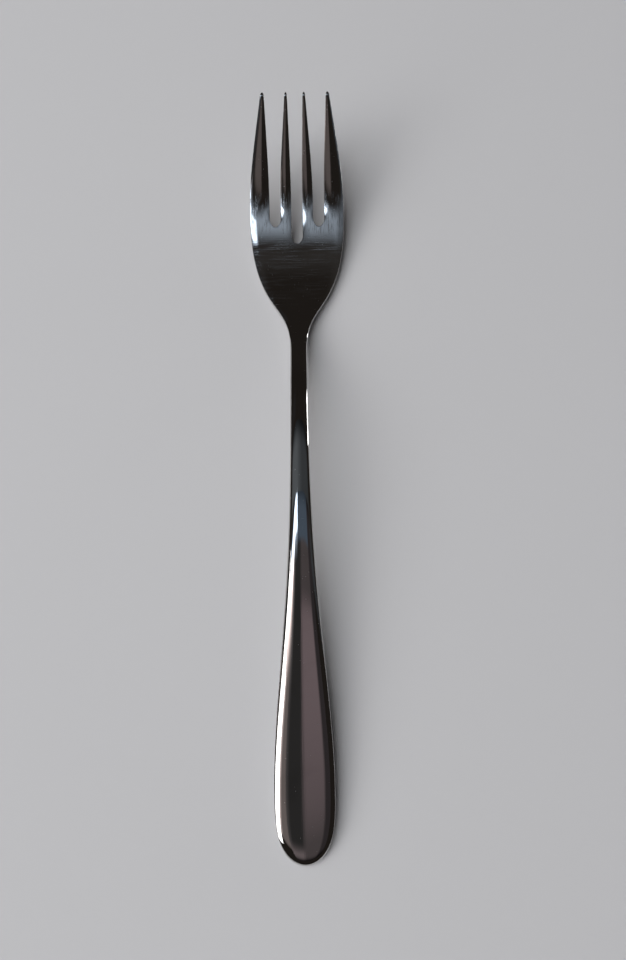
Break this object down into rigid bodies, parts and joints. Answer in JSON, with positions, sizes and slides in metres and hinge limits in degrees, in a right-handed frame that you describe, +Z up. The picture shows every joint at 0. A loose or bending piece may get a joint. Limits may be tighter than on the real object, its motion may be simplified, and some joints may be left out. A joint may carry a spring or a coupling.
{
  "type": "fish fork",
  "caption": "Polished steel fish fork with a teardrop handle, a slim round neck, a broad palm and tapering tines that curve up, for eating fish at table.",
  "frame": {"origin": "on the table, under the middle of the fork's length and width", "axes": "+X across the fork, to the right when it points away; +Y along the fork towards the tips of the tines; +Z up from the table, out of the fork's face"},
  "size_m": [0.025, 0.186, 0.0163],
  "materials": {
    "polished_steel": "stainless steel polished to a mirror, with fine hairlines across the palm and along the tines"
  },
  "bodies": {
    "root": {"handle": "polished_steel", "neck": "polished_steel", "palm": "polished_steel", "left_outer_tine": "polished_steel", "left_inner_tine": "polished_steel", "right_inner_tine": "polished_steel", "right_outer_tine": "polished_steel"}
  },
  "joints": []
}
